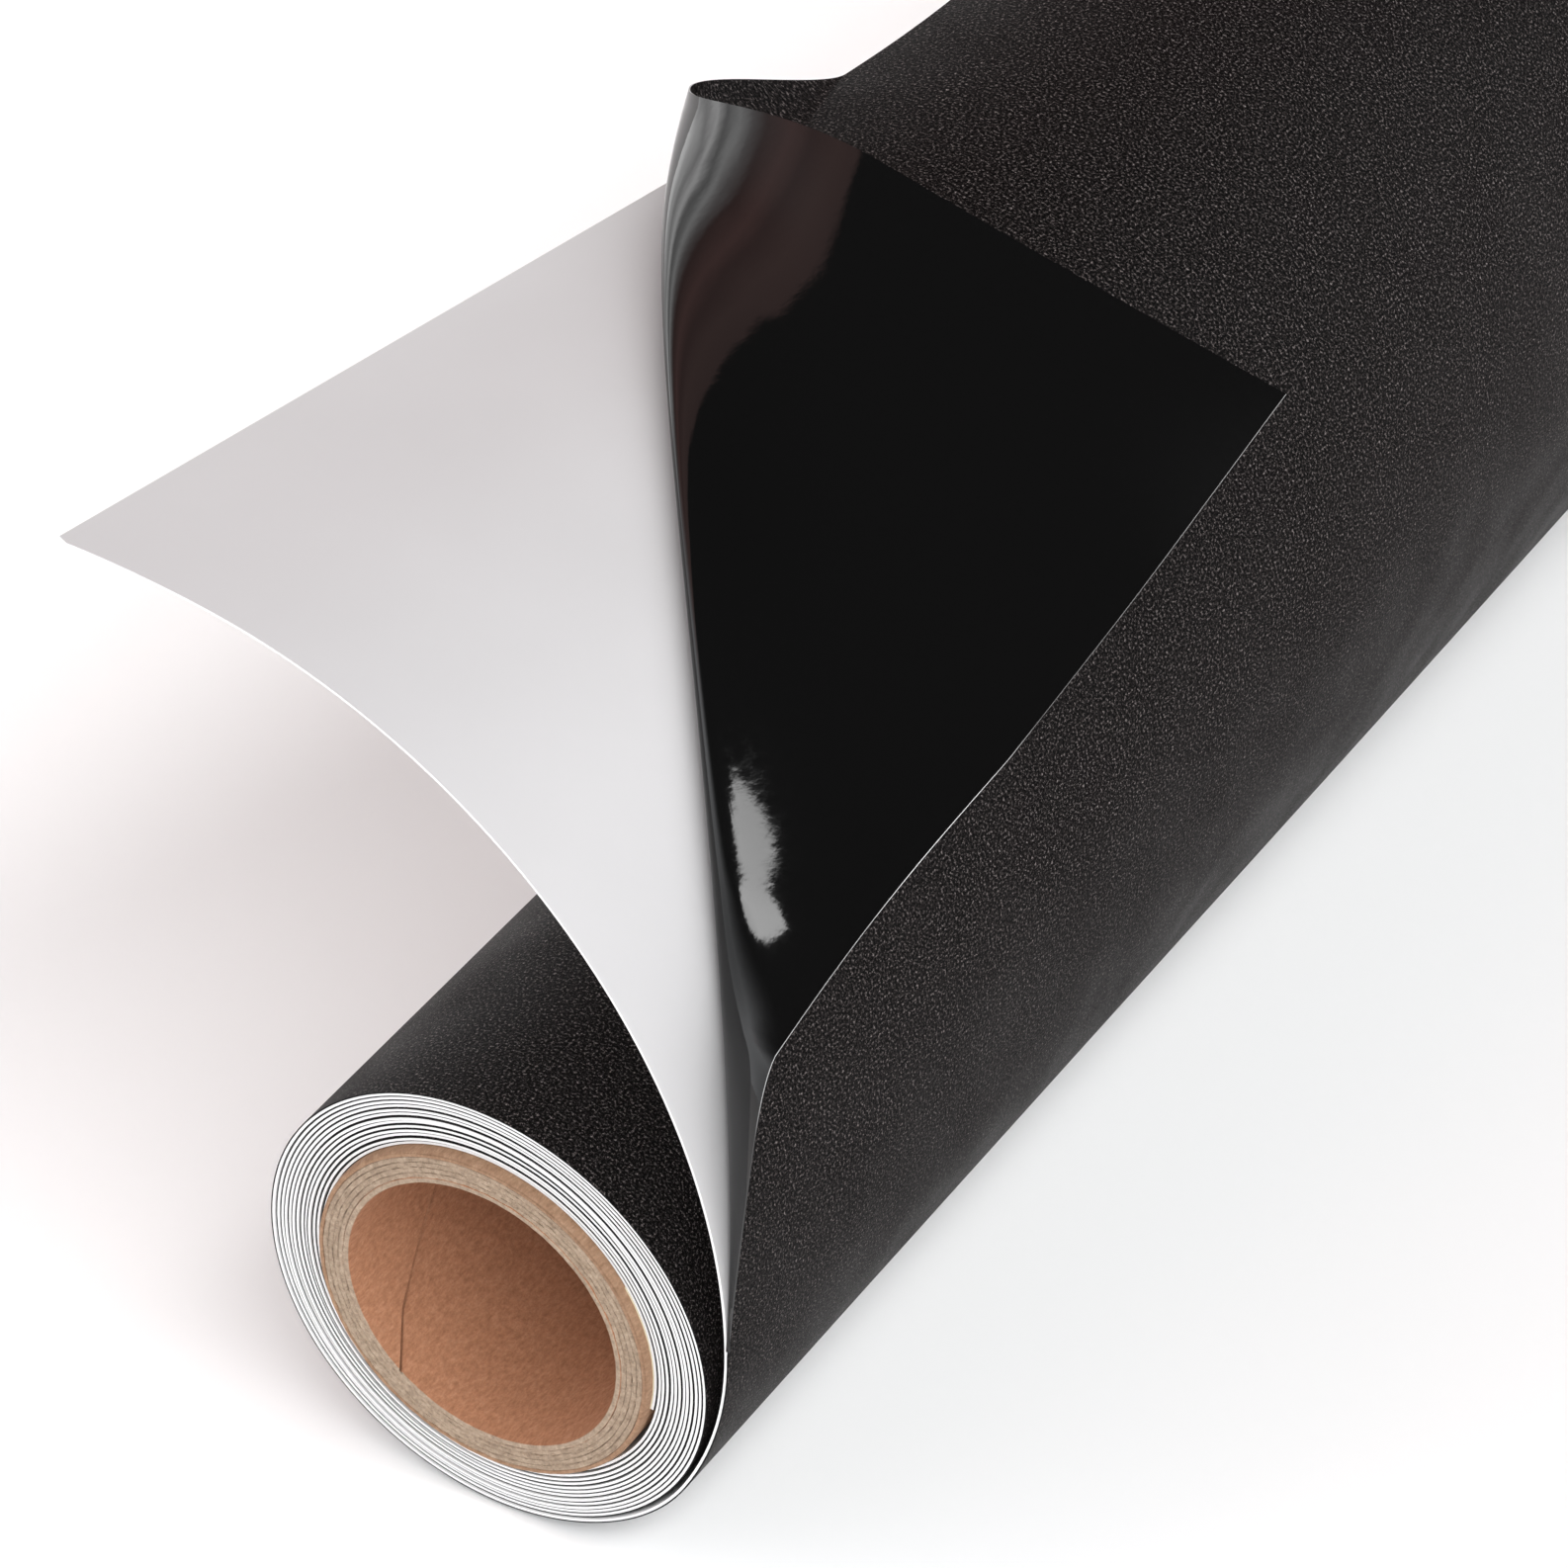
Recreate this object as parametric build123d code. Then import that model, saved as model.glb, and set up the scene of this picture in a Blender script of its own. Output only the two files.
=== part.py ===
from build123d import *
import math
import os

# A roll of self-adhesive vinyl on a paperboard core. Millimetres.
# The origin is the middle of the core's bore: +Y runs along the bore, +X to the right and +Z up.
# Angles in the end plane are in degrees from +X towards +Z. The web unrolls from the lower right,
# rises and arcs back over the roll, and its near corner is peeled off the liner and folded over.

# The web and the core are twelve inches wide.
WIDTH = 304.8
NEAR_END = -WIDTH / 2

# Core: plies of board on a one inch bore.
BORE_RADIUS = 12.7
PLY = 0.49
PLY_NAMES = ["core_inner_ply", "core_ply_2", "core_ply_3", "core_ply_4", "core_ply_5", "core_outer_ply"]
CORE_RADIUS = BORE_RADIUS + PLY * len(PLY_NAMES)

# Web: the liner faces the core and the film faces out.
LINER = 0.235
FILM = 0.125
PITCH = 0.373
WEB_START_ANGLE = -12
WOUND_TURNS = 12.52
TAPE = 0.08
TAPE_ARC = 45
TAPE_GAP = 0.01

# Last part of the web: it hugs the roll, leaves it, and arcs over it in four tangent arcs.
# RISE_LENGTHS are shared by both ends, and each end has its own radii.
HUG_START_ANGLE = 241
HUG_RADIUS = 21.1
NEAR_LEAVE_ANGLE = 330.8
FAR_LEAVE_ANGLE = 327
RISE_LENGTHS = (15.5, 17.9, 60.8, 14.1)
NEAR_RADII = (32, 55, 55, 93.4)
FAR_RADII = (76.9, 76.9, 37.6, 37.6)
RULED_LENGTH = 96

# Peel line, where the film leaves the liner: it starts on the near edge and runs up to the leading edge.
PEEL_START = 16.7
SHEET_LENGTH = sum(RISE_LENGTHS)

# Flap: a flat corner of film. Its plane holds HINGE_POINT, and the fold runs along HINGE_ALONG.
HINGE_POINT = Vector(-1.3, -120, 53.4)
HINGE_ALONG = Vector(-0.504, 0.687, 0.522).normalized()
FLAP_NORMAL = Vector(0.098, -0.557, 0.825).normalized()
HINGE_ACROSS = HINGE_ALONG.cross(FLAP_NORMAL)

# The film's near edge lies on the flap from FLAP_FOOT, this far along the sheet, to FLAP_CORNER.
# Lines of film parallel to the leading edge run along LINE_TO_FOLD on the flap.
FOOT_LENGTH = 44.1
FLAP_FOOT = Vector(23.4, -146.7, 32.5)
FLAP_CORNER = Vector(37.4, -93.8, 66.5)
LINE_TO_FOLD = (HINGE_ALONG * 0.644 - HINGE_ACROSS * 0.764).normalized()

# Fold: each line of film rises off the sheet to a crest and comes back onto the flap's plane.
CREST_LIFT = Vector(0.451, -0.713, 0.537).normalized()
CREST_UP = (CREST_LIFT - HINGE_ALONG * CREST_LIFT.dot(HINGE_ALONG)).normalized()
CREST_TURN = (CREST_UP * 0.77 - HINGE_ALONG * 0.64).normalized()
FOLD_LIFT = 0.35
FOLD_LENGTHS = (50, 57, 64, 71, 78, 85, 92, 98, 103, 107.5)
FLAP_GAP = 0.5


def place(centre, radius, angle, y):
    turn = math.radians(angle)
    return Vector(centre[0] + radius * math.cos(turn), y, centre[1] + radius * math.sin(turn))


def arc_edge(arc, offset, y):
    centre, radius, start, sweep = arc
    points = [place(centre, radius + offset, start + sweep * share, y) for share in (0, 0.5, 1)]
    return Edge.make_three_point_arc(*points)


def band(arcs, inner, outer, y):
    """A face between two offsets of one chain of tangent arcs."""
    inside = [arc_edge(arc, inner, y) for arc in arcs]
    outside = [arc_edge(arc, outer, y) for arc in arcs]
    start = Edge.make_line(inside[0] @ 0, outside[0] @ 0)
    end = Edge.make_line(inside[-1] @ 1, outside[-1] @ 1)
    return Face(Wire(inside + [end] + outside + [start]))


def pull(face, length):
    return Solid.extrude(face, Vector(0, length, 0))


def wound_arcs(inner_radius):
    """Half-turn arcs about two centres, so that the radius grows by PITCH each turn."""
    shift = PITCH / 4
    arcs = []
    left = WOUND_TURNS * 360
    half_turn = 0
    while left > 0:
        side = -1 if half_turn % 2 == 0 else 1
        start = WEB_START_ANGLE + 180 * half_turn
        centre = place((0, 0), side * shift, WEB_START_ANGLE, 0)
        radius = inner_radius + (2 * half_turn + 1) * shift
        arcs.append(((centre.X, centre.Z), radius, start, min(180, left)))
        half_turn += 1
        left -= 180
    return arcs


def rise_arcs(leave_angle, radii):
    """The hugging arc about the core's axis, then tangent arcs that turn the same way."""
    arcs = [((0, 0), HUG_RADIUS, HUG_START_ANGLE, leave_angle - HUG_START_ANGLE)]
    start = leave_angle
    point = place((0, 0), HUG_RADIUS, leave_angle, 0)
    for length, radius in zip(RISE_LENGTHS, radii):
        centre = place((point.X, point.Z), -radius, start, 0)
        sweep = math.degrees(length / radius)
        arcs.append(((centre.X, centre.Z), radius, start, sweep))
        start += sweep
        point = place((centre.X, centre.Z), radius, start, 0)
    return arcs


NEAR_ARCS = rise_arcs(NEAR_LEAVE_ANGLE, NEAR_RADII)
FAR_ARCS = rise_arcs(FAR_LEAVE_ANGLE, FAR_RADII)


def along_rise(arcs, length, offset):
    """The place at this length past the leaving line on one end's arcs, and straight on past their end."""
    for (centre, radius, start, sweep), piece in zip(arcs[1:], RISE_LENGTHS):
        if length <= piece + 1e-6:
            return place(centre, radius + offset, start + math.degrees(length / radius), 0)
        length -= piece
    end = math.radians(start + sweep)
    ahead = Vector(-math.sin(end), 0, math.cos(end))
    return place(centre, radius + offset, start + sweep, 0) + ahead * length


def sheet_place(length, depth, offset=0.0):
    share = min(depth / RULED_LENGTH, 1)
    near = along_rise(NEAR_ARCS, length, offset)
    far = along_rise(FAR_ARCS, length, offset)
    return near + (far - near) * share + Vector(0, NEAR_END + depth, 0)


def sheet(inner, outer):
    near = band(NEAR_ARCS, inner, outer, NEAR_END)
    far = band(FAR_ARCS, inner, outer, NEAR_END + RULED_LENGTH)
    ruled = Solid.make_loft([near.outer_wire(), far.outer_wire()], ruled=True)
    straight = pull(far, WIDTH - RULED_LENGTH)
    return ruled.fuse(straight).solid()


def core_ply(number):
    inner = BORE_RADIUS + PLY * number
    ring = Cylinder(inner + PLY, WIDTH) - Cylinder(inner, WIDTH)
    return Rot(90, 0, 0) * ring


def starter_tape():
    arcs = [((0, 0), CORE_RADIUS, WEB_START_ANGLE, TAPE_ARC)]
    return pull(band(arcs, TAPE_GAP / 2, TAPE, NEAR_END), WIDTH)


def wound(inner, outer):
    arcs = wound_arcs(CORE_RADIUS + TAPE + TAPE_GAP)
    return pull(band(arcs, inner, outer, NEAR_END), WIDTH)


def share_up(length):
    return (length - PEEL_START) / (SHEET_LENGTH - PEEL_START)


def crest_depth(length):
    share = share_up(length)
    return 66.5 * (0.18 * share + 0.82 * share**2)


def peel_depth(length):
    share = share_up(length)
    return crest_depth(length) + 1.2 * share**0.5 + 4 * share + 16.2 * share**8


def crest_place(length):
    """The fold's crest on this line of film: over the exposed liner, and high up at the leading edge."""
    share = share_up(length)
    ahead = length + 11.8 * share**4
    return sheet_place(ahead, crest_depth(ahead)) + CREST_LIFT * (0.3 + 2 * share + 18 * share**10)


def film_edge(length):
    """The film's near edge, from the foot of the flap to its corner."""
    share = (length - FOOT_LENGTH) / (SHEET_LENGTH - FOOT_LENGTH)
    return FLAP_FOOT + (FLAP_CORNER - FLAP_FOOT) * share


def flat_length(length):
    """How far this line of film runs on the flap's plane, from the near edge towards the fold."""
    span = (crest_place(length) - film_edge(length)).length
    return max(span - 6 - 16 * share_up(length), 0)


def landing(length, gap=0.0):
    return film_edge(length) + LINE_TO_FOLD * max(flat_length(length) - gap, 0)


def cubic(start, start_pull, end_pull, end, share):
    rest = 1 - share
    middle = start_pull * (3 * rest**2 * share) + end_pull * (3 * rest * share**2)
    return start * rest**3 + middle + end * share**3


def fold_row(length):
    """Places on one line of film from the sheet round the crest to the flap's plane."""
    depth = peel_depth(length)
    root = sheet_place(length, depth, FILM + FOLD_LIFT)
    away = (sheet_place(length, depth - 1) - sheet_place(length, depth)).normalized()
    crest = crest_place(length)
    end = landing(length)
    rise = (crest - root).length
    fall = (crest - end).length
    lower = (root, root + away * (rise * 0.5), crest - CREST_TURN * (rise * 0.35), crest)
    upper = (crest, crest + CREST_TURN * (fall * 0.22), end + LINE_TO_FOLD * (fall * 0.45), end)
    shares = (0, 0.25, 0.5, 0.75)
    return [cubic(*lower, share) for share in shares] + [cubic(*upper, share) for share in shares] + [end]


def film_fold():
    surface = Face.make_surface_from_array_of_points([fold_row(length) for length in FOLD_LENGTHS])
    return Solid.thicken(surface, FILM)


def film_flap():
    """The flat corner, cut off just short of the fold."""
    left = [landing(length, FLAP_GAP) for length in FOLD_LENGTHS if flat_length(length) > 2 * FLAP_GAP]
    outline = Polyline(film_edge(FOLD_LENGTHS[1]), *left, FLAP_CORNER, close=True)
    return Solid.extrude(Face(Wire(outline.edges())), FLAP_NORMAL * FILM)


def free_film():
    """The film left on the liner, cut off along the peel line."""
    middle_length = (PEEL_START + 2 * SHEET_LENGTH) / 3
    lengths = (PEEL_START, middle_length, SHEET_LENGTH - 0.1)
    first, middle, last = [sheet_place(length, peel_depth(length)) for length in lengths]
    cut_plane = Plane(origin=first, z_dir=(middle - first).cross(last - first))
    corner_sides = (120, 140, 120)
    corner = Pos(0, NEAR_END + 40, first.Z + corner_sides[2] / 2) * Box(*corner_sides)
    corner = split(corner, bisect_by=cut_plane, keep=Keep.TOP)
    return sheet(0, FILM).cut(corner.solid()).solid()


os.makedirs("parts", exist_ok=True)
for number, name in enumerate(PLY_NAMES):
    export_step(core_ply(number), f"parts/{name}.step")
export_step(starter_tape(), "parts/starter_tape.step")
export_step(wound(0, LINER), "parts/wound_liner.step")
export_step(wound(LINER, LINER + FILM), "parts/wound_film.step")
export_step(sheet(-LINER, 0), "parts/free_liner.step")
export_step(free_film(), "parts/free_film.step")
export_step(film_fold(), "parts/film_fold.step")
export_step(film_flap(), "parts/film_flap.step")
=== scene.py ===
import math

import bmesh
import bpy
import numpy as np
from mathutils import Matrix, Vector


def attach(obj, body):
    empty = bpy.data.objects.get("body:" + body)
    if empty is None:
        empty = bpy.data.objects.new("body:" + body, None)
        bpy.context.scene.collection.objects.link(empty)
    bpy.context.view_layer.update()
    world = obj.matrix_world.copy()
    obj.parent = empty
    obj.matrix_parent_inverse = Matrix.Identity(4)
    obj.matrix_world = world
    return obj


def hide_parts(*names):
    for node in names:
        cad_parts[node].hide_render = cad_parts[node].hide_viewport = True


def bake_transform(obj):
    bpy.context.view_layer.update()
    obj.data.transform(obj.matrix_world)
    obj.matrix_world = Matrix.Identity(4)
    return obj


# Looks for a roll of black self-adhesive vinyl. Lengths here are in millimetres in the row frame,
# and MM turns them into metres where a mesh, a joint's bend or the camera is made.
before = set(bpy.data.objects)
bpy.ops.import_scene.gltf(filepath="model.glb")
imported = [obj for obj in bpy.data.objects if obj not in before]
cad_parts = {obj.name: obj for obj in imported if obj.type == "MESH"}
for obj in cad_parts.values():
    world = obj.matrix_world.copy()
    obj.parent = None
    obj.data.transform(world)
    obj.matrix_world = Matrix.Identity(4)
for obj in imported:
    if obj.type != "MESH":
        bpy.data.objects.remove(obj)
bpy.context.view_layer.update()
MM = 0.001

# The roll as in the CAD: core, wound web, and the end of the web that arcs back over the roll. Here the
# liner is a little thinner, the core stands proud, and the web eases off the roll over HUG_EASE.
WIDTH = 304.8
NEAR_END = -WIDTH / 2
BORE_RADIUS = 12.7
PLY = 0.49
PLY_GAP = 0.012
PLY_COUNT = 6
CORE_RADIUS = BORE_RADIUS + PLY_COUNT * PLY
CORE_PROUD = 0.9
TAPE_ROOM = 0.09
LINER = 0.22
FILM = 0.125
PITCH = 0.373
WEB_START_ANGLE = -12
LAST_TURN_START = 151
WHOLE_TURNS = 12
WOUND_SWEEP = WHOLE_TURNS * 360 + LAST_TURN_START - WEB_START_ANGLE
HUG_RADIUS = 21.1
HUG_EASE = 16
NEAR_LEAVE_ANGLE = 330.8
FAR_LEAVE_ANGLE = 327
RISE_LENGTHS = (15.5, 17.9, 60.8, 14.1)
NEAR_RADII = (32, 55, 55, 93.4)
FAR_RADII = (76.9, 76.9, 37.6, 37.6)
RULED_LENGTH = 96
RULING_SHARPNESS = 14
SHEET_LENGTH = sum(RISE_LENGTHS)
HUG_LENGTH = math.radians(NEAR_LEAVE_ANGLE - LAST_TURN_START) * HUG_RADIUS
BLUNT_TIP = 0.4

# Peel, fold and flap, as in the CAD. The share up the peel is 0 where it starts and 1 at the leading edge.
# Each pair below is a size in millimetres, and the power of that share that it grows with.
PEEL_START = 16.7
CREST_DEPTH = ((66.5 * 0.18, 1), (66.5 * 0.82, 2))
PEEL_PAST_CREST = ((1.2, 0.5), (4, 1), (16.2, 8))
CREST_HEIGHT = ((0.3, 0), (2, 1), (18, 10))
LOOP_AHEAD = ((11.8, 4),)
FOLD_ROOM = ((6, 0), (16, 1))


def unit(vector):
    return vector / np.linalg.norm(vector)


HINGE_ALONG = unit(np.array((-0.504, 0.687, 0.522)))
FLAP_NORMAL = unit(np.array((0.098, -0.557, 0.825)))
HINGE_ACROSS = np.cross(HINGE_ALONG, FLAP_NORMAL)
FOOT_LENGTH = 44.1
SETTLED_LENGTH = FOOT_LENGTH + 6
FLAP_FOOT = np.array((23.4, -146.7, 32.5))
FLAP_CORNER = np.array((37.4, -93.8, 66.5))
LINE_TO_FOLD = unit(HINGE_ALONG * 0.644 - HINGE_ACROSS * 0.764)
CREST_LIFT = unit(np.array((0.451, -0.713, 0.537)))
CREST_UP = unit(CREST_LIFT - HINGE_ALONG * CREST_LIFT.dot(HINGE_ALONG))
CREST_TURN = unit(CREST_UP * 0.77 - HINGE_ALONG * 0.64)

# The fold's two Bezier curves pull from the root, the crest and the landing by these shares of their spans.
# At the leading edge the root's pull drops, and the loop stands up from the sheet.
ROOT_PULL = 0.5
ROOT_PULL_DROP = 0.36
CREST_PULL_DOWN = 0.35
CREST_PULL_OVER = 0.22
LANDING_PULL = 0.45

# The cut near edge sways from side to side, and the flap's corner curls up.
EDGE_SWAY = np.array((0.852, 0.523, 0))
FLAP_SWAY = 0.7
FLAP_SWAY_SHARE = 0.45
FOOT_SWAY = 1.6
FOOT_PULL = 0.8
CURL_START = 84
CURL_END = SHEET_LENGTH + 8
CORNER_CURL = 2.0

rng = np.random.default_rng(7)


# ---------------------------------------------------------------- shapes of the web


def rise_arcs(leave_angle, radii):
    """Tangent arcs as (centre, radius, start angle), in the end plane, from the leaving line up."""
    start = math.radians(leave_angle)
    point = HUG_RADIUS * np.array((math.cos(start), math.sin(start)))
    arcs = []
    for length, radius in zip(RISE_LENGTHS, radii):
        centre = point - radius * np.array((math.cos(start), math.sin(start)))
        arcs.append((centre, radius, start))
        start += length / radius
        point = centre + radius * np.array((math.cos(start), math.sin(start)))
    return arcs, start


NEAR_RISE = rise_arcs(NEAR_LEAVE_ANGLE, NEAR_RADII)
FAR_RISE = rise_arcs(FAR_LEAVE_ANGLE, FAR_RADII)


def end_place(rise, leave_angle, length, offset):
    """The place in the end plane at this length past the leaving line. Below it, the web hugs the roll."""
    if length < 0:
        angle = math.radians(leave_angle) + length / HUG_RADIUS
        out = np.array((math.cos(angle), math.sin(angle)))
        return (hug_radius(length) + offset) * out
    arcs, last_angle = rise
    for (centre, radius, start), piece in zip(arcs, RISE_LENGTHS):
        if length <= piece + 1e-6:
            angle = start + length / radius
            return centre + (radius + offset) * np.array((math.cos(angle), math.sin(angle)))
        length -= piece
    out = np.array((math.cos(last_angle), math.sin(last_angle)))
    ahead = np.array((-out[1], out[0]))
    return centre + (radius + offset) * out + ahead * length


def ease(share):
    share = min(max(share, 0), 1)
    return share * share * (3 - 2 * share)


def hug_radius(length):
    """The last half turn stays on the roll like the turns under it, then eases out to where it leaves."""
    wound = WOUND_END_RADIUS + PITCH * (length + HUG_LENGTH) / (2 * math.pi * HUG_RADIUS)
    return wound + (HUG_RADIUS - wound) * ease((length + HUG_EASE) / HUG_EASE)


def sheet_place(length, depth, offset=0.0):
    """The place on the sheet: ruled up to RULED_LENGTH and straight from there, with a soft change."""
    run = depth / RULED_LENGTH
    share = -math.log(math.exp(-RULING_SHARPNESS * run) + math.exp(-RULING_SHARPNESS)) / RULING_SHARPNESS
    near = end_place(NEAR_RISE, NEAR_LEAVE_ANGLE, length, offset)
    far = end_place(FAR_RISE, FAR_LEAVE_ANGLE, length, offset)
    x, z = near + (far - near) * share
    return np.array((x, NEAR_END + depth, z))


def share_up(length):
    """How far up the peel this length is."""
    return (length - PEEL_START) / (SHEET_LENGTH - PEEL_START)


def grown(sizes, share):
    """The sum of each size times its power of the share."""
    return sum(size * share**power for size, power in sizes)


def crest_depth(length):
    return grown(CREST_DEPTH, share_up(length))


def peel_depth(length):
    return crest_depth(length) + grown(PEEL_PAST_CREST, max(share_up(length), 0))


def crest_place(length):
    """The fold's crest on this line of film: over the bare liner, and high up at the leading edge."""
    share = share_up(length)
    ahead = length + grown(LOOP_AHEAD, share)
    return sheet_place(ahead, crest_depth(ahead)) + CREST_LIFT * grown(CREST_HEIGHT, share)


def film_edge(length):
    """The film's cut near edge: off the liner in a curve, then straight across the flap to its corner."""
    if length >= FOOT_LENGTH:
        share = (length - FOOT_LENGTH) / (SHEET_LENGTH - FOOT_LENGTH)
        sway = -FLAP_SWAY * math.sin(math.pi * min(share / FLAP_SWAY_SHARE, 1))
        return FLAP_FOOT + (FLAP_CORNER - FLAP_FOOT) * share + EDGE_SWAY * sway
    span = FOOT_LENGTH - PEEL_START
    share = (length - PEEL_START) / span
    start = sheet_place(PEEL_START, 0, FILM)
    leave = unit(sheet_place(PEEL_START + 1, 0) - sheet_place(PEEL_START - 1, 0)) * span
    land = unit(FLAP_CORNER - FLAP_FOOT) * span * FOOT_PULL
    place = start * (2 * share**3 - 3 * share**2 + 1) + leave * (share**3 - 2 * share**2 + share)
    place = place + FLAP_FOOT * (3 * share**2 - 2 * share**3) + land * (share**3 - share**2)
    return place + EDGE_SWAY * FOOT_SWAY * math.sin(math.pi * share) * (0.45 + 0.75 * share)


def cubic(points, shares):
    """Places on a Bezier curve."""
    share = np.array(shares)[:, None]
    rest = 1 - share
    first, second, third, fourth = points
    middle = 3 * rest**2 * share * second + 3 * rest * share**2 * third
    return rest**3 * first + middle + share**3 * fourth


def film_line(length, count):
    """One line of peeled film: off the sheet, round the crest and along the flap to the near edge."""
    depth = peel_depth(length)
    root = sheet_place(length, depth, FILM)
    away = unit(sheet_place(length, depth - 0.5) - sheet_place(length, depth + 0.5))
    crest = crest_place(length)
    edge = film_edge(length)
    flat = max(np.linalg.norm(crest - edge) - grown(FOLD_ROOM, share_up(length)), 0)
    settled = ease((length - PEEL_START) / (SETTLED_LENGTH - PEEL_START))
    to_fold = unit(LINE_TO_FOLD * settled + unit(crest - edge) * (1 - settled))
    landing = edge + to_fold * flat
    rise = np.linalg.norm(crest - root)
    fall = np.linalg.norm(crest - landing)
    root_pull = ROOT_PULL - ROOT_PULL_DROP * share_up(length) ** 6
    lower = (root, root + away * rise * root_pull, crest - CREST_TURN * rise * CREST_PULL_DOWN, crest)
    over, back = CREST_TURN * fall * CREST_PULL_OVER, to_fold * fall * LANDING_PULL
    upper = (crest, crest + over, landing + back, landing)
    shares = np.linspace(0, 1, 40)
    runs = np.linspace(0, 1, 24)[1:, None]
    curl = CORNER_CURL * ease((length - CURL_START) / (CURL_END - CURL_START))
    tail = landing + (edge - landing) * runs + FLAP_NORMAL * curl * runs**1.8
    line = np.vstack((cubic(lower, shares[:-1]), cubic(upper, shares), tail))
    steps = np.linalg.norm(np.diff(line, axis=0), axis=1)
    run = np.concatenate(([0], np.cumsum(steps)))
    spots = np.linspace(0, 1, count) ** 1.15 * run[-1]
    line = np.stack([np.interp(spots, run, line[:, axis]) for axis in range(3)], axis=1)
    return line, spots / run[-1]


# ---------------------------------------------------------------- meshes


def strip_solid(name, inner, outer, flat, materials):
    """A thin closed solid between two grids of points, with smooth faces, sharp rims and a flat UV map.
    materials are for the inner face, the outer face and the cut edges."""
    rows, columns = inner.shape[:2]
    points = np.concatenate((inner.reshape(-1, 3), outer.reshape(-1, 3))) * MM
    size = rows * columns
    faces = []
    kinds = []

    def spot(row, column, side):
        return side * size + row * columns + column

    for row in range(rows - 1):
        for column in range(columns - 1):
            corners = ((row, column), (row + 1, column), (row + 1, column + 1), (row, column + 1))
            faces.append([spot(*corner, 1) for corner in corners])
            kinds.append(1)
            faces.append([spot(*corner, 0) for corner in reversed(corners)])
            kinds.append(0)
    rim = [(row, 0) for row in range(rows)] + [(rows - 1, column) for column in range(1, columns)]
    rim += [(row, columns - 1) for row in range(rows - 2, -1, -1)]
    rim += [(0, column) for column in range(columns - 2, 0, -1)]
    for here, there in zip(rim, rim[1:] + rim[:1]):
        faces.append([spot(*here, 0), spot(*there, 0), spot(*there, 1), spot(*here, 1)])
        kinds.append(2)
    mesh = bpy.data.meshes.new(name)
    mesh.from_pydata(points.tolist(), [], faces)
    mesh.update()
    if mesh_volume(mesh) < 0:
        mesh.flip_normals()
    mesh.polygons.foreach_set("material_index", kinds)
    mesh.polygons.foreach_set("use_smooth", [True] * len(kinds))
    rim_set = {spot(*place, side) for place in rim for side in (0, 1)}
    borders = {frozenset((spot(*a, side), spot(*b, side)))
               for a, b in zip(rim, rim[1:] + rim[:1]) for side in (0, 1)}
    posts = {frozenset((spot(*place, 0), spot(*place, 1)))
             for place in ((0, 0), (0, columns - 1), (rows - 1, 0), (rows - 1, columns - 1))}
    for edge in mesh.edges:
        if edge.vertices[0] in rim_set and frozenset(edge.vertices) in borders | posts:
            edge.use_edge_sharp = True
    layer = mesh.uv_layers.new(name="flat")
    flat_twice = np.concatenate((flat.reshape(-1, 2), flat.reshape(-1, 2))) * MM
    corners = np.zeros(len(mesh.loops), dtype=int)
    mesh.loops.foreach_get("vertex_index", corners)
    layer.data.foreach_set("uv", flat_twice[corners].ravel())
    for material in materials:
        mesh.materials.append(material)
    piece = bpy.data.objects.new(name, mesh)
    bpy.context.scene.collection.objects.link(piece)
    return piece


def mesh_volume(mesh):
    shape = bmesh.new()
    shape.from_mesh(mesh)
    volume = shape.calc_volume(signed=True)
    shape.free()
    return volume


def sheet_grid(lengths, depth_rows, offset):
    """Places on the sheet for each length, at that row's own depths."""
    return np.array([[sheet_place(length, depth, offset) for depth in depths]
                     for length, depths in zip(lengths, depth_rows)])


def flat_grid(lengths, depth_rows):
    """The same places on the web when it lies flat."""
    return np.array([[(length, depth) for depth in depths] for length, depths in zip(lengths, depth_rows)])


# The first turns climb over the web's square start in the last CLIMB_SHARE of a turn, and later ones less and
# less. The winding is uneven in slow waves of (millimetres, waves a turn, phase in radians).
STEPS_PER_TURN = 120
CLIMB_SHARE = 0.13
CLIMB_MEMORY = 0.75
WINDING_WAVES = ((0.012, 1.21, 1.3), (0.008, 0.43, 0))


def spiral():
    """The angles of the wound web's steps in radians, and the radius of its inner face at each."""
    count = int(WOUND_SWEEP / 360 * STEPS_PER_TURN) + 1
    sweep = np.linspace(0, WOUND_SWEEP, count)
    turn = np.floor(sweep / 360)
    part = sweep / 360 - turn
    climb = np.clip((part - 1 + CLIMB_SHARE) / CLIMB_SHARE, 0, 1)
    climb = climb * climb * (3 - 2 * climb)
    memory = CLIMB_MEMORY**turn
    radius = CORE_RADIUS + TAPE_ROOM + PITCH * (turn + memory * climb + (1 - memory) * part)
    loose = sum(size * np.sin(np.radians(sweep * waves) + phase) for size, waves, phase in WINDING_WAVES)
    radius += loose * np.clip(sweep / 360, 0, 1)
    return np.radians(WEB_START_ANGLE + sweep), radius


SPIRAL_ANGLES, SPIRAL_RADII = spiral()
WOUND_END_RADIUS = SPIRAL_RADII[-1] + LINER


def wander(count, reach, spacing):
    """A slow seeded wander of that reach, with a new value every so many steps."""
    knots = rng.uniform(-reach, reach, count // spacing + 3)
    places = np.arange(count) / spacing
    left = places.astype(int)
    share = places - left
    share = share * share * (3 - 2 * share)
    return knots[left] * (1 - share) + knots[left + 1] * share


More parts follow.
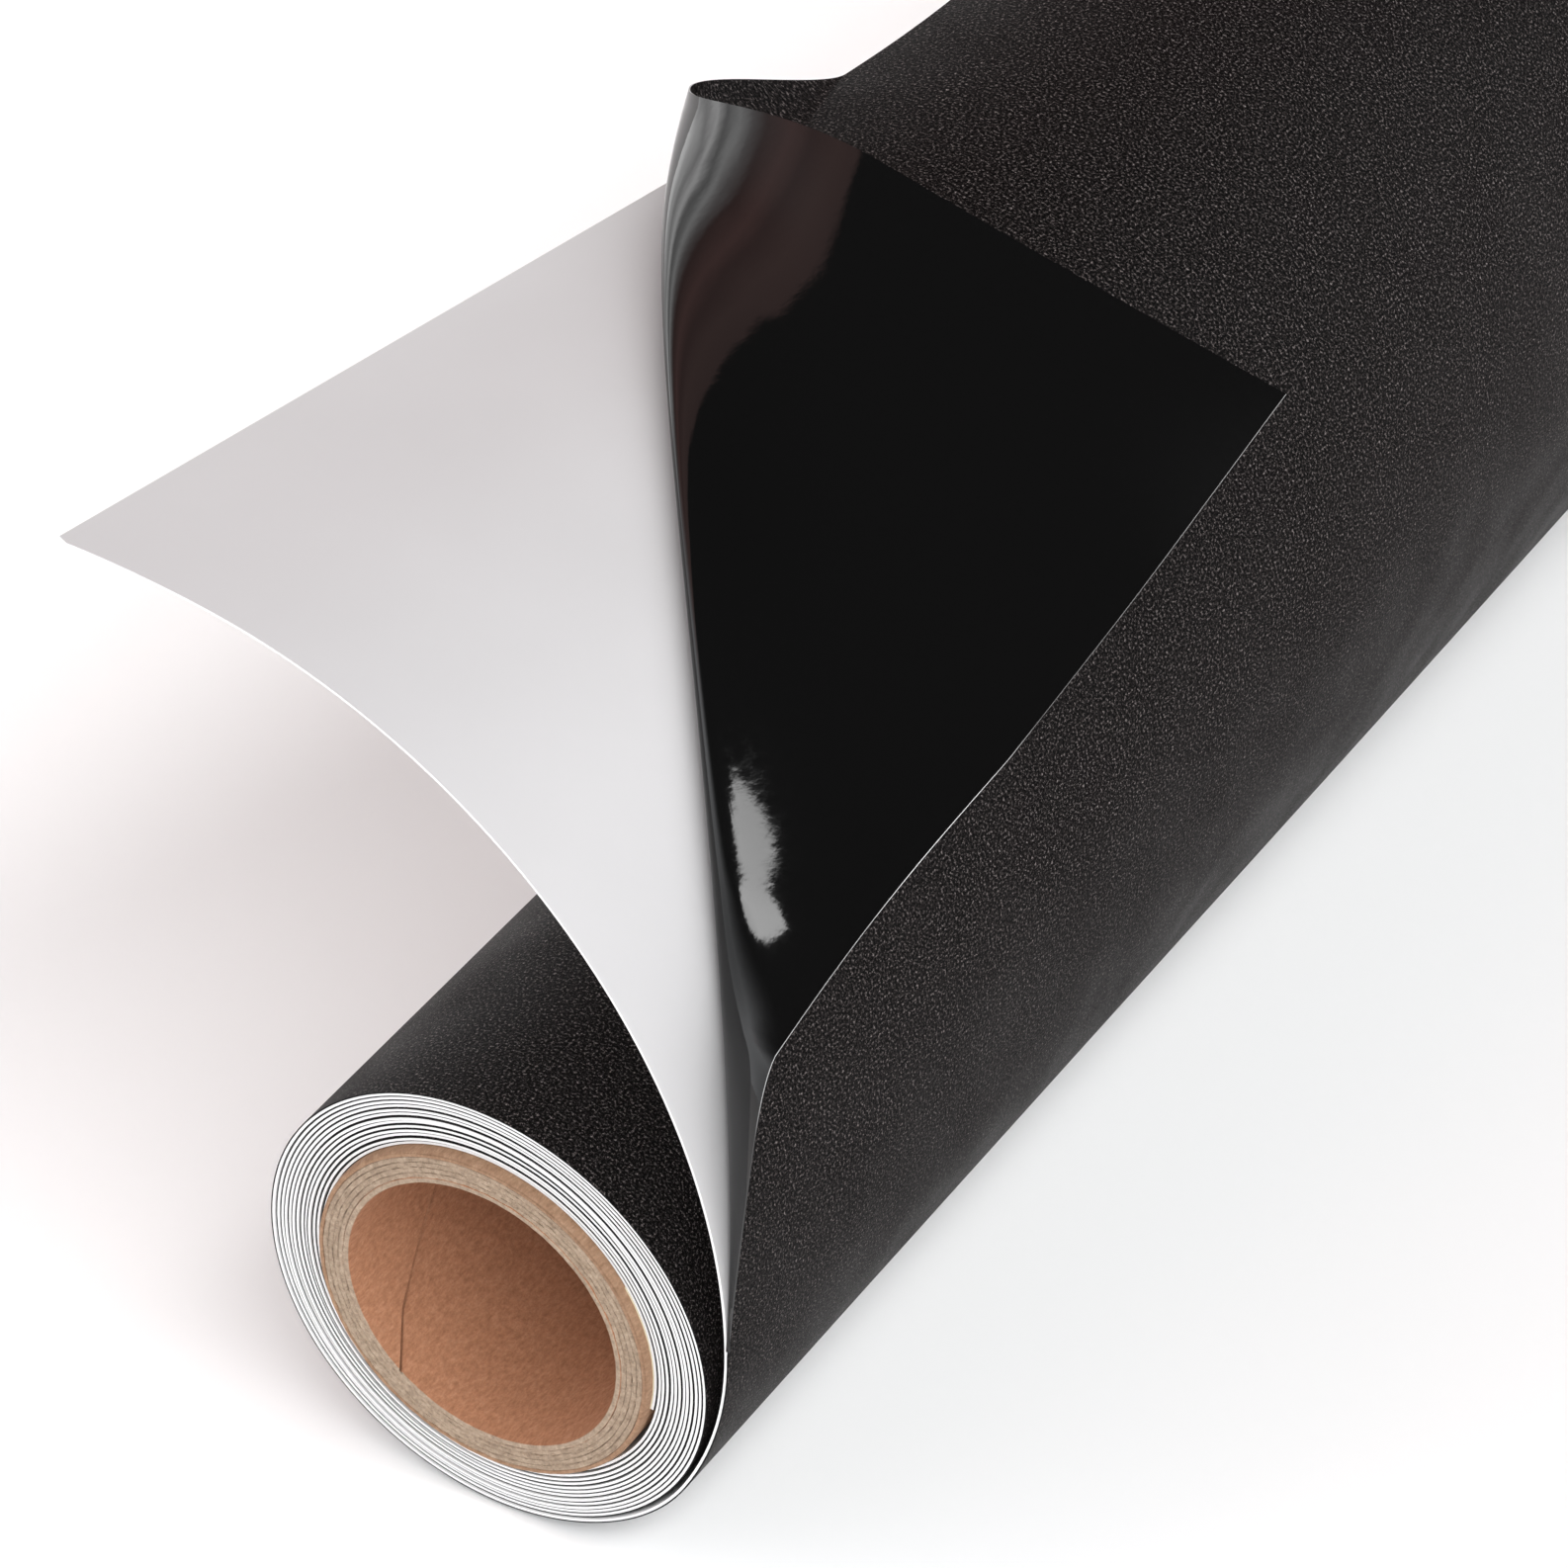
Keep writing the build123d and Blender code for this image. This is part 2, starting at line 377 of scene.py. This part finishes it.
def wound_grid(offset, near_wander):
    """Places on the wound web at the near end, which is uneven, and the far end, which isn't."""
    radius = SPIRAL_RADII + offset
    x = radius * np.cos(SPIRAL_ANGLES)
    z = radius * np.sin(SPIRAL_ANGLES)
    near = np.stack((x, NEAR_END + near_wander, z), axis=1)
    far = np.stack((x, np.full_like(x, -NEAR_END), z), axis=1)
    return np.stack((near, far), axis=1)


# The butt joint of a ply: half its gap and its depth in millimetres, with a lip turned up on each side.
SEAM_HALF_GAP = 0.15
SEAM_DEPTH = 0.34
SEAM_LIP = 0.03
WORN_LENGTH = 4


def tube(name, inner_radius, outer_radius, material, shoulder, fray, seam):
    """One ply of the core: a tube with a worn near end. seam is None, or the angle of its butt joint at that
    end and how far the joint turns per millimetre, both in degrees."""
    columns = 300
    angles = np.linspace(0, 2 * math.pi, columns, endpoint=False)
    turn = 0.0
    groove = np.zeros(columns)
    if seam:
        angle, turn = math.radians(seam[0]), math.radians(seam[1])
        step = SEAM_HALF_GAP / inner_radius
        places = angle + np.array((-3, -1.1, -1, 1, 1.1, 3)) * step
        clear = [a for a in angles if abs((a - angle + math.pi) % (2 * math.pi) - math.pi) > 3.5 * step]
        angles = np.sort(np.concatenate((clear, places % (2 * math.pi))))
        nearest = np.abs((angles - angle + math.pi) % (2 * math.pi) - math.pi)
        in_gap = nearest < 1.05 * step
        on_lip = (nearest > 1.05 * step) & (nearest < 1.15 * step)
        groove = np.where(in_gap, SEAM_DEPTH, 0.0) - np.where(on_lip, SEAM_LIP, 0.0)
        columns = len(angles)
    wall = outer_radius - inner_radius
    chamfer = min(0.07, wall / 4)
    end_rows = [(0, chamfer * 0.9), (chamfer, 0)]
    end_rows += [(share * wall, 0) for share in (0.35, 0.65)]
    end_rows += [(wall - shoulder, 0), (wall - shoulder * 0.3, shoulder * 0.25), (wall, shoulder)]
    lengths = np.linspace(WORN_LENGTH, WIDTH, 76) if seam else np.array((20, WIDTH))
    outer_rows = [(wall, length) for length in lengths]
    inner_rows = [(0, length) for length in reversed(lengths)]
    profile = end_rows + outer_rows + inner_rows
    points = []
    for out, depth in profile:
        worn = depth < WORN_LENGTH
        wear = wander(columns + 4, fray, 3)[:columns] * worn
        wear[-4:] = wear[-4:] * np.linspace(1, 0, 4) + wear[0] * np.linspace(0, 1, 4)
        radius = inner_radius + out + groove * (out < chamfer * 0.5)
        around = angles + turn * depth
        y = NEAR_END - CORE_PROUD * (depth <= WORN_LENGTH) + depth + np.abs(wear)
        points.append(np.stack((radius * np.cos(around), y, radius * np.sin(around)), axis=1))
    points = np.concatenate(points)
    faces = []
    for row in range(len(profile)):
        below = row * columns
        above = (row + 1) % len(profile) * columns
        for column in range(columns):
            after = (column + 1) % columns
            faces.append((below + column, above + column, above + after, below + after))
    mesh = bpy.data.meshes.new(name)
    mesh.from_pydata((points * MM).tolist(), [], faces)
    mesh.update()
    if mesh_volume(mesh) < 0:
        mesh.flip_normals()
    mesh.polygons.foreach_set("use_smooth", [True] * len(faces))
    mesh.set_sharp_from_angle(angle=math.radians(35))
    mesh.materials.append(material)
    if seam:
        mesh.materials.append(BOARD)
        mesh.materials.append(SEAM_PAINTED_SHADE)
        for face in mesh.polygons[:(len(end_rows) - 2) * columns]:
            face.material_index = 1
        # The floor of the seam's groove gets painted shade: near-black board, darker than the ply beneath.
        painted_shade_gap = [column for column in range(columns - 1) if groove[column] > 0 and groove[column + 1] > 0]
        for row in range(len(profile) - len(inner_rows) - 1, len(profile)):
            for column in painted_shade_gap:
                mesh.polygons[row * columns + column].material_index = 2
    piece = bpy.data.objects.new(name, mesh)
    bpy.context.scene.collection.objects.link(piece)
    return piece


# ---------------------------------------------------------------- materials


def new_material(name):
    material = bpy.data.materials.new(name)
    material.use_nodes = True
    nodes = material.node_tree.nodes
    return material, nodes, material.node_tree.links, nodes["Principled BSDF"]


def in_millimetres(nodes, links, flat):
    """Coordinates in millimetres: along and across the web where flat, or the object's own."""
    scale = nodes.new("ShaderNodeVectorMath")
    scale.operation = "SCALE"
    scale.inputs["Scale"].default_value = 1 / MM
    if flat:
        source = nodes.new("ShaderNodeUVMap")
        source.uv_map = "flat"
        links.new(source.outputs["UV"], scale.inputs[0])
    else:
        source = nodes.new("ShaderNodeTexCoord")
        links.new(source.outputs["Object"], scale.inputs[0])
    return scale.outputs["Vector"]


def noise(nodes, links, place, scale, detail=2.0, roughness=0.5, stretch=None):
    """A noise of about so many lumps per millimetre, or per unit of place."""
    texture = nodes.new("ShaderNodeTexNoise")
    texture.inputs["Scale"].default_value = scale
    texture.inputs["Detail"].default_value = detail
    texture.inputs["Roughness"].default_value = roughness
    if stretch:
        mapping = nodes.new("ShaderNodeMapping")
        mapping.inputs["Scale"].default_value = stretch
        links.new(place, mapping.inputs["Vector"])
        place = mapping.outputs["Vector"]
    links.new(place, texture.inputs["Vector"])
    return texture.outputs["Fac"]


def ramp(nodes, links, value, stops):
    """A colour for each value from 0 to 1. stops are (position, colour)."""
    node = nodes.new("ShaderNodeValToRGB")
    elements = node.color_ramp.elements
    while len(elements) < len(stops):
        elements.new(0.5)
    for element, (position, colour) in zip(elements, stops):
        element.position = position
        element.color = (*colour, 1)
    links.new(value, node.inputs["Fac"])
    return node.outputs["Color"]


def span(nodes, links, value, low, high, new_low, new_high):
    """The value moved from one range to another, and held at its ends."""
    node = nodes.new("ShaderNodeMapRange")
    for name, number in (("From Min", low), ("From Max", high), ("To Min", new_low), ("To Max", new_high)):
        node.inputs[name].default_value = number
    links.new(value, node.inputs["Value"])
    return node.outputs["Result"]


def bump(nodes, links, shader, height, distance, strength=1.0, over=None):
    node = nodes.new("ShaderNodeBump")
    node.inputs["Distance"].default_value = distance * MM
    node.inputs["Strength"].default_value = strength
    links.new(height, node.inputs["Height"])
    if over:
        links.new(over, node.inputs["Normal"])
    links.new(node.outputs["Normal"], shader.inputs["Normal"])
    return node.outputs["Normal"]


def film_face_material():
    """Matte calendered film with a fine embossed grain, and painted glints: pale dots in its near-black base
    colour.
    """
    material, nodes, links, shader = new_material("film_face")
    place = in_millimetres(nodes, links, True)
    grain = noise(nodes, links, place, 2.6, 3.0, 0.65)
    blotch = noise(nodes, links, place, 0.09, 3.0, 0.6)
    painted_glints = noise(nodes, links, place, 4.0, 4.0, 0.75)
    # The pale top of this ramp is painted glint, not a colour of the film.
    base = ramp(nodes, links, painted_glints, [(0.0, (0.0006, 0.0005, 0.0005)), (0.49, (0.0015, 0.0012, 0.0012)),
                                       (0.58, (0.028, 0.024, 0.023)), (0.68, (0.25, 0.22, 0.215))])
    links.new(base, shader.inputs["Base Color"])
    rough = span(nodes, links, blotch, 0.3, 0.7, 0.42, 0.58)
    links.new(rough, shader.inputs["Roughness"])
    shader.inputs["IOR"].default_value = 1.11
    bump(nodes, links, shader, grain, 0.08, 1.0)
    return material


def adhesive_material():
    """The glossy black underside of the film, with a faint orange peel."""
    material, nodes, links, shader = new_material("adhesive_face")
    place = in_millimetres(nodes, links, True)
    shader.inputs["Base Color"].default_value = (0.003, 0.003, 0.003, 1)
    dust = noise(nodes, links, place, 1.1, 3.0, 0.6)
    rough = span(nodes, links, dust, 0.3, 0.75, 0.03, 0.075)
    links.new(rough, shader.inputs["Roughness"])
    shader.inputs["IOR"].default_value = 1.45
    peel = noise(nodes, links, place, 1.6, 2.0, 0.5)
    bump(nodes, links, shader, peel, 0.0035, 1.0)
    return material


def painted_highlight_edge_material():
    """The peeled film's cut edge: black, with a painted highlight that is pale along part of its length and
    grey towards the leading edge.
    """
    material, nodes, links, shader = new_material("film_cut_edge_painted_highlight")
    place = in_millimetres(nodes, links, True)
    split = nodes.new("ShaderNodeSeparateXYZ")
    links.new(place, split.inputs[0])
    along = span(nodes, links, split.outputs["X"], 0, 120, 0, 1)
    # These grey stops along the web's length are a painted highlight on the black edge.
    stops = ((0.30, 0.02), (0.36, 0.5), (0.47, 0.45), (0.52, 0.95), (0.58, 0.75), (0.64, 0.08), (0.9, 0.25))
    pale = ramp(nodes, links, along, [(position, (grey, grey, grey)) for position, grey in stops])
    links.new(pale, shader.inputs["Base Color"])
    shader.inputs["Roughness"].default_value = 0.3
    return material


def black_edge_material():
    """The film's clean cut edge: plain black that barely shines."""
    material, _, _, shader = new_material("film_black_edge")
    shader.inputs["Base Color"].default_value = (0.003, 0.003, 0.003, 1)
    shader.inputs["Roughness"].default_value = 0.5
    shader.inputs["IOR"].default_value = 1.15
    return material


def liner_coat_material():
    """The liner's coated side: satin, almost white, with the faint cloudiness of paper."""
    material, nodes, links, shader = new_material("liner_coated_side")
    place = in_millimetres(nodes, links, True)
    cloud = noise(nodes, links, place, 0.05, 3.0)
    fine = noise(nodes, links, place, 1.4, 3.0)
    base = ramp(nodes, links, cloud, [(0.25, (0.485, 0.480, 0.482)), (0.75, (0.51, 0.505, 0.508))])
    links.new(base, shader.inputs["Base Color"])
    shader.inputs["Roughness"].default_value = 0.38
    shader.inputs["IOR"].default_value = 1.4
    bump(nodes, links, shader, fine, 0.006, 0.6)
    return material


def liner_paper_material(name, low, high):
    """Uncoated paper, between two greys."""
    material, nodes, links, shader = new_material(name)
    place = in_millimetres(nodes, links, True)
    fibre = noise(nodes, links, place, 2.2, 4.0, 0.6)
    base = ramp(nodes, links, fibre, [(0.25, (low, low, low)), (0.75, (high, high, high))])
    links.new(base, shader.inputs["Base Color"])
    shader.inputs["Roughness"].default_value = 0.7
    bump(nodes, links, shader, fibre, 0.02, 0.5)
    return material


def board_material(name, rough_end, dark, mid, light):
    """Paperboard: fibres and flecks, rougher where rough_end."""
    material, nodes, links, shader = new_material(name)
    place = in_millimetres(nodes, links, False)
    fibre = noise(nodes, links, place, 2.4, 6.0, 0.7, (1, 0.45, 1))
    fleck = noise(nodes, links, place, 5.0, 3.0, 0.65, (1, 0.4, 1))
    base = ramp(nodes, links, fibre, [(0.28, dark), (0.5, mid), (0.74, light)])
    mix = nodes.new("ShaderNodeMix")
    mix.data_type = "RGBA"
    mix.blend_type = "MULTIPLY"
    mix.inputs["Factor"].default_value = 0.55
    links.new(base, mix.inputs["A"])
    links.new(ramp(nodes, links, fleck, [(0.3, (0.62, 0.6, 0.58)), (0.62, (1, 1, 1))]), mix.inputs["B"])
    links.new(mix.outputs["Result"], shader.inputs["Base Color"])
    shader.inputs["Roughness"].default_value = 0.82
    shader.inputs["IOR"].default_value = 1.35
    height = noise(nodes, links, place, 5.0 if rough_end else 2.6, 4.0, 0.7)
    bump(nodes, links, shader, height, 0.16 if rough_end else 0.05, 0.8)
    return material


def tape_material():
    """Masking tape, hardly seen under the web."""
    material, nodes, links, shader = new_material("starter_tape")
    place = in_millimetres(nodes, links, False)
    weave = noise(nodes, links, place, 2.0, 3.0)
    base = ramp(nodes, links, weave, [(0.3, (0.62, 0.55, 0.38)), (0.7, (0.72, 0.65, 0.47))])
    links.new(base, shader.inputs["Base Color"])
    shader.inputs["Roughness"].default_value = 0.5
    return material


FILM_FACE = film_face_material()
ADHESIVE = adhesive_material()
FILM_EDGE_PAINTED_HIGHLIGHT = painted_highlight_edge_material()
FILM_BLACK_EDGE = black_edge_material()
LINER_COAT = liner_coat_material()
LINER_BACK = liner_paper_material("liner_back", 0.74, 0.8)
LINER_EDGE = liner_paper_material("liner_cut_edge", 0.70, 0.82)
KRAFT_INNER = board_material("kraft_bore", False,
                             (0.36, 0.165, 0.087), (0.48, 0.235, 0.13), (0.58, 0.31, 0.185))
BOARD = board_material("board_end", True,
                       (0.24, 0.175, 0.125), (0.38, 0.285, 0.205), (0.52, 0.41, 0.31))
# Painted shade for the floor of the bore's seam groove.
SEAM_PAINTED_SHADE = board_material("seam_painted_shade", False,
                          (0.012, 0.009, 0.006), (0.03, 0.022, 0.014), (0.05, 0.037, 0.024))
KRAFT_OUTER = board_material("kraft_outer_wrap", False,
                             (0.23, 0.128, 0.073), (0.31, 0.185, 0.112), (0.41, 0.265, 0.172))


# ---------------------------------------------------------------- core


PLIES = (
    ("core_inner_ply", "bore_wrap", KRAFT_INNER, "kraft_inner"),
    ("core_ply_2", "board_ply_2", BOARD, "chipboard"),
    ("core_ply_3", "board_ply_3", BOARD, "chipboard"),
    ("core_ply_4", "board_ply_4", BOARD, "chipboard"),
    ("core_ply_5", "board_ply_5", BOARD, "chipboard"),
    ("core_outer_ply", "outer_wrap", KRAFT_OUTER, "kraft_outer"),
)
BORE_SEAM = (-129, -3.92)
WRAP_SHOULDER = 0.42
PLY_SHOULDER = 0.08
BOARD_FRAY = 0.16
KRAFT_FRAY = 0.05


def build_core():
    """Six plies, each with its own worn end, and the tape's look on its CAD solid."""
    for number, (node, name, material, finish) in enumerate(PLIES):
        inner = BORE_RADIUS + PLY * number
        outer = inner + PLY - PLY_GAP
        seam = BORE_SEAM if material == KRAFT_INNER else None
        shoulder = WRAP_SHOULDER if material == KRAFT_OUTER else PLY_SHOULDER
        fray = BOARD_FRAY if material == BOARD else KRAFT_FRAY
        ply = tube(name, inner, outer, material, shoulder, fray, seam)
        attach(ply, "roll")
        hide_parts(node)
    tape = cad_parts["starter_tape"]
    tape.data.materials.clear()
    tape.data.materials.append(tape_material())


# ---------------------------------------------------------------- wound web


# The turns' near edges are staggered by up to twice this, and the film's by a little more than the liner's.
# Both come back to the end plane over the last steps, where the last half turn starts. The film is wound a
# little thin, which leaves a gap to the next turn.
LINER_STAGGER = 0.1
FILM_STAGGER = 0.04
FILM_SET_BACK = 0.03
LAST_STEPS = 60
WOUND_FILM = FILM * 0.92


def build_wound_web():
    """The spiral of liner and film, up to the last half turn."""
    count = len(SPIRAL_ANGLES)
    near = wander(count, LINER_STAGGER, 40) + LINER_STAGGER
    near[-LAST_STEPS:] *= np.linspace(1, 0, LAST_STEPS)
    arc = np.concatenate(([0], np.cumsum(np.diff(SPIRAL_ANGLES) * SPIRAL_RADII[1:])))
    flat = np.stack((np.stack((arc - arc[-1] - HUG_LENGTH, np.zeros(count)), axis=1),
                     np.stack((arc - arc[-1] - HUG_LENGTH, np.full(count, WIDTH)), axis=1)), axis=1)
    liner = strip_solid("wound_liner_web", wound_grid(0, near), wound_grid(LINER, near), flat,
                        (LINER_BACK, LINER_COAT, LINER_EDGE))
    near_film = near + wander(count, FILM_STAGGER, 25) + FILM_SET_BACK
    near_film[-LAST_STEPS:] *= np.linspace(1, 0, LAST_STEPS)
    inner = wound_grid(LINER, near_film)
    outer = wound_grid(LINER + WOUND_FILM, near_film)
    film = strip_solid("wound_film_web", inner, outer, flat, (ADHESIVE, FILM_FACE, FILM_BLACK_EDGE))
    for piece, node, finish in ((liner, "wound_liner", "liner"), (film, "wound_film", "film")):
        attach(piece, "roll")
        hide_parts(node)


def build_last_turn():
    """The outermost half turn of liner and film."""
    lengths = np.linspace(-HUG_LENGTH, 0, 90)
    ruled = np.linspace(0, RULED_LENGTH + 30, 16)
    depths = np.concatenate((ruled, np.linspace(RULED_LENGTH + 60, WIDTH, 5)))
    rows = [depths] * len(lengths)
    flat = flat_grid(lengths, rows)
    inside = sheet_grid(lengths, rows, -LINER)
    between = sheet_grid(lengths, rows, 0)
    outside = sheet_grid(lengths, rows, FILM)
    liner = strip_solid("last_turn_liner", inside, between, flat, (LINER_BACK, LINER_COAT, LINER_EDGE))
    film = strip_solid("last_turn_film", between, outside, flat, (ADHESIVE, FILM_FACE, FILM_BLACK_EDGE))
    for piece, finish in ((liner, "liner"), (film, "film")):
        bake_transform(piece)


# ---------------------------------------------------------------- free end and flap


BELOW_PEEL = np.linspace(0, PEEL_START, 14)[:-1]
FREE_LENGTHS = np.concatenate((BELOW_PEEL, np.linspace(PEEL_START, SHEET_LENGTH, 90)))


def build_free_liner():
    """The liner of the free sheet, with the very tip of its corner blunted."""
    ruled = np.linspace(0, RULED_LENGTH + 30, 64)
    depths = np.concatenate((ruled, np.linspace(RULED_LENGTH + 40, WIDTH, 14)))
    rows = [depths] * (len(FREE_LENGTHS) - 1) + [np.maximum(depths, BLUNT_TIP + depths * 0.01)]
    inner = sheet_grid(FREE_LENGTHS, rows, -LINER)
    outer = sheet_grid(FREE_LENGTHS, rows, 0)
    liner = strip_solid("free_liner_sheet", inner, outer, flat_grid(FREE_LENGTHS, rows),
                        (LINER_BACK, LINER_COAT, LINER_EDGE))
    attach(liner, "free_web")
    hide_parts("free_liner")


def build_free_film():
    """The film still on the liner, which starts at the peel line."""
    rows = []
    for length in FREE_LENGTHS:
        first = peel_depth(length) if length > PEEL_START else 0.0
        rows.append(first + (WIDTH - first) * np.linspace(0, 1, 90) ** 1.4)
    inner = sheet_grid(FREE_LENGTHS, rows, 0)
    outer = sheet_grid(FREE_LENGTHS, rows, FILM)
    film = strip_solid("free_film_sheet", inner, outer, flat_grid(FREE_LENGTHS, rows),
                       (ADHESIVE, FILM_FACE, FILM_BLACK_EDGE))
    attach(film, "free_web")
    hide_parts("free_film")


# The peeled film starts a little way up the peel. Its normals are turned to the flap's side by the one in the
# middle of the flap.
PEELED_FROM = PEEL_START + 0.6
PEELED_LINES = 110
PEELED_STEPS = 120
FLAP_MIDDLE = (70, 90)


def build_peeled_film():
    """The loop of the fold and the flap, in one piece of film."""
    lengths = PEELED_FROM + (SHEET_LENGTH - PEELED_FROM) * np.linspace(0, 1, PEELED_LINES) ** 1.1
    inner = []
    flat = []
    for length in lengths:
        line, shares = film_line(length, PEELED_STEPS)
        inner.append(line)
        depth = peel_depth(length)
        flat.append([(length, depth * (1 - share)) for share in shares])
    inner = np.array(inner)
    flat = np.array(flat)
    along = np.gradient(inner, axis=0)
    across = np.gradient(inner, axis=1)
    normals = np.cross(along, across)
    normals /= np.linalg.norm(normals, axis=2, keepdims=True) + 1e-12
    if normals[FLAP_MIDDLE].dot(FLAP_NORMAL) < 0:
        normals = -normals
    outer = inner + normals * FILM
    # Its cut edges get the material with the painted highlight.
    peeled = strip_solid("peeled_film", inner, outer, flat, (FILM_FACE, ADHESIVE, FILM_EDGE_PAINTED_HIGHLIGHT))
    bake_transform(peeled)
    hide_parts("film_fold", "film_flap")


# ---------------------------------------------------------------- floor, light and camera


FLOOR_GAP = 0.06
FLOOR_Z = -(HUG_RADIUS + FILM + FLOOR_GAP)
FLOOR_HALF = 4000
CAMERA_TARGET = Vector((27.7, -152.4, 64.4))
CAMERA_DISTANCE = 522.5
CAMERA_AZIMUTH = 31.55
CAMERA_ELEVATION = 38.15
CAMERA_LENS = 165.95
SENSOR = 36

# Colours of the room. SKY runs across it, from the back left at -1 to the front right at 1: pale bands, a
# brown strip, the dark ceiling, a bright strip and white. SKY_ALONG runs the other way, and both its ends are
# white. The room grows brighter towards the front, but straight in front is a dim doorway.
WHITE = (0.213, 0.216, 0.222)
CEILING = (0.005, 0.005, 0.005)
STRIP_LIGHT = (1, 1, 1)
SKY_END = 1.05
SKY = ((-1.02, (0.45, 0.45, 0.45)), (-0.97, (0.2, 0.2, 0.2)), (-0.93, (0.45, 0.45, 0.45)),
       (-0.88, (0.12, 0.12, 0.12)), (-0.83, (0.3, 0.3, 0.3)), (-0.78, (0.13, 0.12, 0.12)),
       (-0.70, (0.05, 0.028, 0.026)), (-0.58, (0.10, 0.054, 0.05)), (-0.48, (0.06, 0.034, 0.032)),
       (-0.34, (0.085, 0.052, 0.048)), (-0.235, (0.075, 0.046, 0.043)), (-0.205, CEILING),
       (0.475, CEILING), (0.495, STRIP_LIGHT), (0.62, STRIP_LIGHT), (0.68, WHITE))
SKY_ACROSS = (0.92, -0.44, 0)
SKY_ALONG = (0.6, 0.8, 0)
RIPPLE = 0.022
FRONT = (-0.1, -0.99, -0.1)
BACK_POWER = 4.6
FRONT_POWER = 12.0
DOORWAY = (0, -1, 0)
DOORWAY_DIM = 0.35


def build_floor():
    mesh = bpy.data.meshes.new("floor")
    corners = [(x * FLOOR_HALF * MM, y * FLOOR_HALF * MM, FLOOR_Z * MM)
               for x, y in ((-1, -1), (1, -1), (1, 1), (-1, 1))]
    mesh.from_pydata(corners, [], [(0, 1, 2, 3)])
    material, nodes, links, shader = new_material("pale_floor")
    place = in_millimetres(nodes, links, False)
    cloud = noise(nodes, links, place, 0.002, 2.0)
    base = ramp(nodes, links, cloud, [(0.3, (0.97, 0.97, 0.965)), (0.7, (0.985, 0.985, 0.98))])
    links.new(base, shader.inputs["Base Color"])
    shader.inputs["Roughness"].default_value = 0.9
    mesh.materials.append(material)
    floor = bpy.data.objects.new("floor", mesh)
    bpy.context.scene.collection.objects.link(floor)


def toward(nodes, links, place, direction):
    """How far the place looks towards a direction, from -1 to 1."""
    node = nodes.new("ShaderNodeVectorMath")
    node.operation = "DOT_PRODUCT"
    node.inputs[1].default_value = direction
    links.new(place, node.inputs[0])
    return node.outputs["Value"]


def build_light():
    """The world is a room, which lights the roll and which its glossy side mirrors."""
    world = bpy.data.worlds.new("studio")
    bpy.context.scene.world = world
    world.use_nodes = True
    nodes, links = world.node_tree.nodes, world.node_tree.links
    background = nodes["Background"]
    place = nodes.new("ShaderNodeTexCoord").outputs["Generated"]
    ripple = span(nodes, links, noise(nodes, links, place, 7, 2.0), 0.25, 0.75, -RIPPLE, RIPPLE)
    across = nodes.new("ShaderNodeMath")
    links.new(toward(nodes, links, place, SKY_ACROSS), across.inputs[0])
    links.new(ripple, across.inputs[1])
    stops = [((position + SKY_END) / (2 * SKY_END), colour) for position, colour in SKY]
    across_share = span(nodes, links, across.outputs["Value"], -SKY_END, SKY_END, 0, 1)
    shade = ramp(nodes, links, across_share, stops)
    away = nodes.new("ShaderNodeMath")
    away.operation = "ABSOLUTE"
    links.new(toward(nodes, links, place, SKY_ALONG), away.inputs[0])
    edge = span(nodes, links, away.outputs["Value"], 0.46, 0.8, 0, 1)
    rise = nodes.new("ShaderNodeMath")
    rise.operation = "POWER"
    rise.inputs[1].default_value = 2
    links.new(edge, rise.inputs[0])
    mix = nodes.new("ShaderNodeMix")
    mix.data_type = "RGBA"
    links.new(rise.outputs["Value"], mix.inputs["Factor"])
    links.new(shade, mix.inputs["A"])
    mix.inputs["B"].default_value = (*WHITE, 1)
    links.new(mix.outputs["Result"], background.inputs["Color"])
    front = toward(nodes, links, place, FRONT)
    doorway = span(nodes, links, toward(nodes, links, place, DOORWAY), 0.6, 0.9, 1, DOORWAY_DIM)
    power = nodes.new("ShaderNodeMath")
    power.operation = "MULTIPLY"
    links.new(span(nodes, links, front, -1, 1, BACK_POWER, FRONT_POWER), power.inputs[0])
    links.new(doorway, power.inputs[1])
    links.new(power.outputs["Value"], background.inputs["Strength"])


def build_camera():
    azimuth = math.radians(CAMERA_AZIMUTH)
    elevation = math.radians(CAMERA_ELEVATION)
    back = Vector((math.sin(azimuth) * math.cos(elevation), -math.cos(azimuth) * math.cos(elevation),
                   math.sin(elevation)))
    right = Vector((math.cos(azimuth), math.sin(azimuth), 0))
    up = back.cross(right)
    data = bpy.data.cameras.new("camera")
    data.lens = CAMERA_LENS
    data.sensor_width = SENSOR
    data.clip_start = 0.01
    data.clip_end = 20
    camera = bpy.data.objects.new("camera", data)
    bpy.context.scene.collection.objects.link(camera)
    turn = Matrix((right, up, back)).transposed().to_4x4()
    camera.matrix_world = Matrix.Translation((CAMERA_TARGET + back * CAMERA_DISTANCE) * MM) @ turn
    bpy.context.scene.camera = camera


build_core()
build_wound_web()
build_last_turn()
build_free_liner()
build_free_film()
build_peeled_film()
build_floor()
build_light()
build_camera()
bpy.context.scene.view_settings.view_transform = "Standard"
